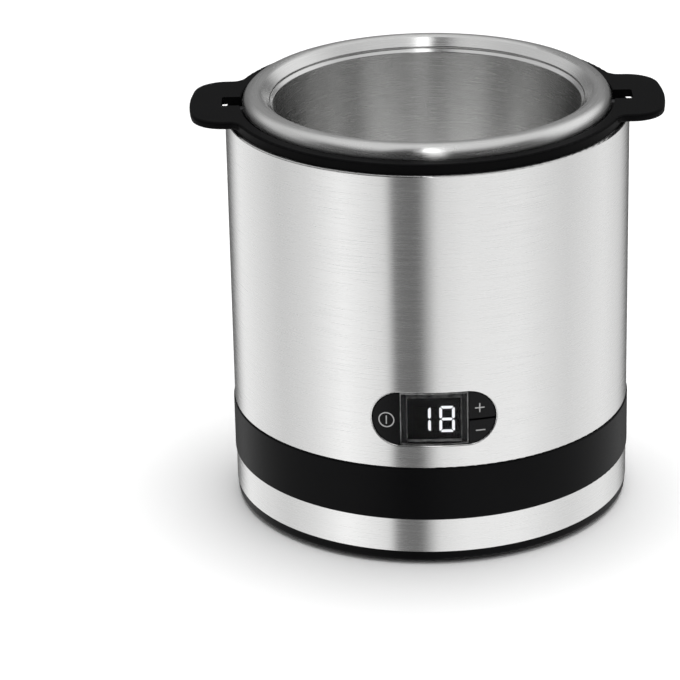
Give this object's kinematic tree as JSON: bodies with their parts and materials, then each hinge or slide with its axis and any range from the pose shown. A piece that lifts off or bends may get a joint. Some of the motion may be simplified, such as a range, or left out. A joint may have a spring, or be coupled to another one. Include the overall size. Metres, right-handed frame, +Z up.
{
  "type": "yogurt maker",
  "caption": "Compact electric frozen-yogurt maker: brushed steel base with timer panel and gear drive, and a chilled steel bowl that turns and lifts out in a black handled ring.",
  "frame": {"origin": "on the table under the middle of the base", "axes": "+Z up, -Y towards the control panel, X along the handle tabs"},
  "size_m": [0.1832, 0.1568, 0.1669],
  "materials": {
    "brushed_steel": "circumferential brushed",
    "bowl_steel": "satin",
    "belt_black": "satin moulded",
    "carrier_black": "fine moulded grain",
    "key_black": "satin",
    "clear_lens": "polished",
    "display_black": "gloss",
    "foot_rubber": "matte",
    "well_plastic": "moulded",
    "gear_white": "moulded",
    "case_grey": "moulded",
    "motor_steel": "zinc plated",
    "shaft_steel": "ground",
    "pinion_brass": "machined",
    "bush_bronze": "sintered",
    "seal_rubber": "matte",
    "board_green": "solder mask",
    "coil_steel": "laminated",
    "can_aluminium": "sleeved can",
    "screw_steel": "zinc plated",
    "gel_blue": "gel",
    "shell_grey": "satin",
    "socket_black": "moulded",
    "lead_grey": "soft jacket"
  },
  "bodies": {
    "base": {"outer_sleeve": "brushed_steel", "belt_housing": "belt_black", "trim_ring": "brushed_steel", "base_plate": "belt_black", "foot_front_left": "foot_rubber", "foot_front_right": "foot_rubber", "foot_rear_right": "foot_rubber", "foot_rear_left": "foot_rubber", "base_screws": "screw_steel", "tie_screws": "screw_steel", "cord_gland": "foot_rubber", "bowl_well": "well_plastic", "gearbox_case": "case_grey", "gearbox_lid": "case_grey", "motor_can": "motor_steel", "motor_screws": "screw_steel", "output_bush": "bush_bronze", "shaft_seal": "seal_rubber", "idler_axle": "shaft_steel", "gearbox_screws": "screw_steel", "key_switches": "key_black", "panel_frame": "belt_black", "display_lens": "clear_lens", "display_block": "display_black", "control_board": "board_green", "board_screws": "screw_steel", "power_board": "board_green", "transformer": "coil_steel", "capacitor": "can_aluminium", "panel_lead": "lead_grey", "motor_lead": "lead_grey"},
    "carrier": {"carrier_ring": "carrier_black"},
    "bowl": {"inner_bowl": "bowl_steel", "outer_shell": "shell_grey", "coolant_gel": "gel_blue", "bowl_seal": "seal_rubber", "drive_socket": "socket_black"},
    "drive": {"output_shaft": "shaft_steel", "output_gear": "gear_white", "drive_dog": "socket_black"},
    "idler": {"idler_gear": "gear_white"},
    "rotor": {"motor_shaft": "shaft_steel", "motor_pinion": "pinion_brass"},
    "power_key": {"power_button": "key_black", "power_plunger": "gear_white"},
    "plus_key": {"plus_button": "key_black", "plus_plunger": "gear_white"},
    "minus_key": {"minus_button": "key_black", "minus_plunger": "gear_white"}
  },
  "joints": [
    {"name": "carrier_lift", "type": "slide", "parent": "base", "child": "carrier", "axis": [0, 0, 1], "range_m": [0, 0.1]},
    {"name": "bowl_spin", "type": "hinge", "parent": "carrier", "child": "bowl", "pos_m": [0, 0, 0.12], "axis": [0, 0, 1], "continuous": true},
    {"name": "drive_spin", "type": "hinge", "parent": "base", "child": "drive", "pos_m": [0, 0, 0.07], "axis": [0, 0, 1], "continuous": true},
    {"name": "idler_spin", "type": "hinge", "parent": "base", "child": "idler", "pos_m": [0, 0.03, 0.065], "axis": [0, 0, 1], "continuous": true},
    {"name": "rotor_spin", "type": "hinge", "parent": "base", "child": "rotor", "pos_m": [-0.01973, 0.02282, 0.06], "axis": [0, 0, 1], "continuous": true},
    {"name": "power_press", "type": "slide", "parent": "base", "child": "power_key", "axis": [0, 1, 0], "range_m": [0, 0.0006], "stiffness_N_per_m": 1500},
    {"name": "plus_press", "type": "slide", "parent": "base", "child": "plus_key", "axis": [0, 1, 0], "range_m": [0, 0.0006], "stiffness_N_per_m": 1500},
    {"name": "minus_press", "type": "slide", "parent": "base", "child": "minus_key", "axis": [0, 1, 0], "range_m": [0, 0.0006], "stiffness_N_per_m": 1500}
  ],
  "couplings": [
    {"joint": "drive_spin", "follows": "bowl_spin", "ratio": 1},
    {"joint": "idler_spin", "follows": "bowl_spin", "ratio": -4},
    {"joint": "rotor_spin", "follows": "bowl_spin", "ratio": 16}
  ]
}
